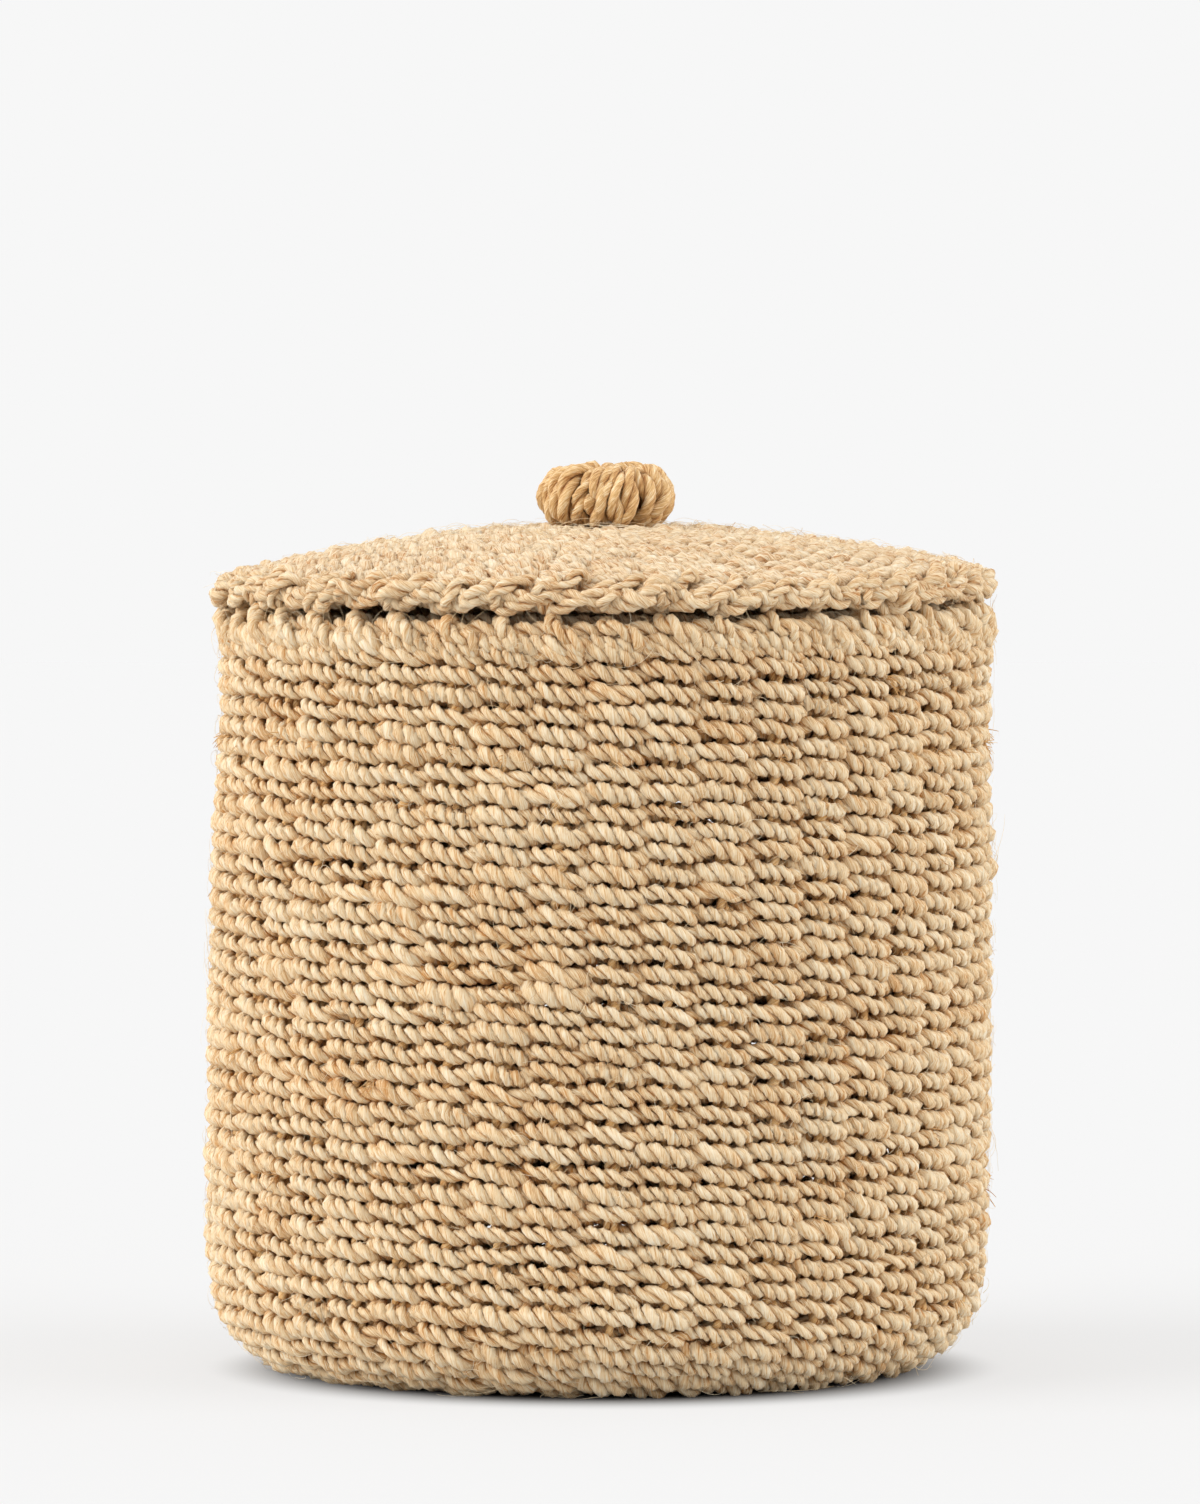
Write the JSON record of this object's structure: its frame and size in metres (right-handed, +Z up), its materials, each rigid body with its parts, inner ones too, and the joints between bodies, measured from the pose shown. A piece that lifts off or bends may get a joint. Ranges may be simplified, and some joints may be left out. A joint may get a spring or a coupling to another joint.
{
  "type": "lidded basket",
  "caption": "Round free-standing storage basket twined from two-ply plant-fibre cord, with a lift-off domed lid, a locating collar under the lid and a wrapped cord knob.",
  "frame": {"origin": "middle of the base, on the surface that the basket stands on", "axes": "+Z is up, along the axis of the basket and lid; the lid lifts off along +Z"},
  "size_m": [0.26, 0.26, 0.3012],
  "materials": {
    "wall_cord": "two-ply sisal-type fibre cord, undyed, dry, with loose fibres",
    "base_cord": "two-ply sisal-type fibre cord, undyed, dry, flattened where it stands",
    "stake_cord": "two-ply sisal-type fibre cord, undyed, tightly laid",
    "rim_cord": "two-ply sisal-type fibre cord, undyed, lashed",
    "lid_cord": "two-ply sisal-type fibre cord, undyed, dry, with loose fibres",
    "collar_cord": "two-ply sisal-type fibre cord, undyed, in shade under the lid",
    "knob_cord": "two-ply sisal-type fibre cord, undyed, golden, tightly wrapped"
  },
  "bodies": {
    "basket": {"base_start": "base_cord", "base_weft_inner": "base_cord", "base_weft_middle": "base_cord", "base_weft_outer": "base_cord", "corner_weft": "wall_cord", "wall_weft_1": "wall_cord", "wall_weft_2": "wall_cord", "wall_weft_3": "wall_cord", "wall_weft_4": "wall_cord", "main_stakes": "stake_cord", "added_stakes": "stake_cord", "rim_cord": "rim_cord", "rim_lashing": "rim_cord"},
    "lid": {"lid_start": "lid_cord", "lid_weft_inner": "lid_cord", "lid_weft_middle": "lid_cord", "lid_weft_outer": "lid_cord", "lid_main_spokes": "stake_cord", "lid_added_spokes": "stake_cord", "lid_edge_cord": "lid_cord", "lid_edge_lashing": "lid_cord", "lid_collar": "collar_cord", "collar_stitches": "collar_cord", "knob_core": "knob_cord", "knob_wrap": "knob_cord", "knob_tie": "knob_cord", "tie_knot": "knob_cord"}
  },
  "joints": [
    {"name": "lid_lift", "type": "slide", "parent": "basket", "child": "lid", "axis": [0, 0, 1], "range_m": [0, 0.12]}
  ]
}
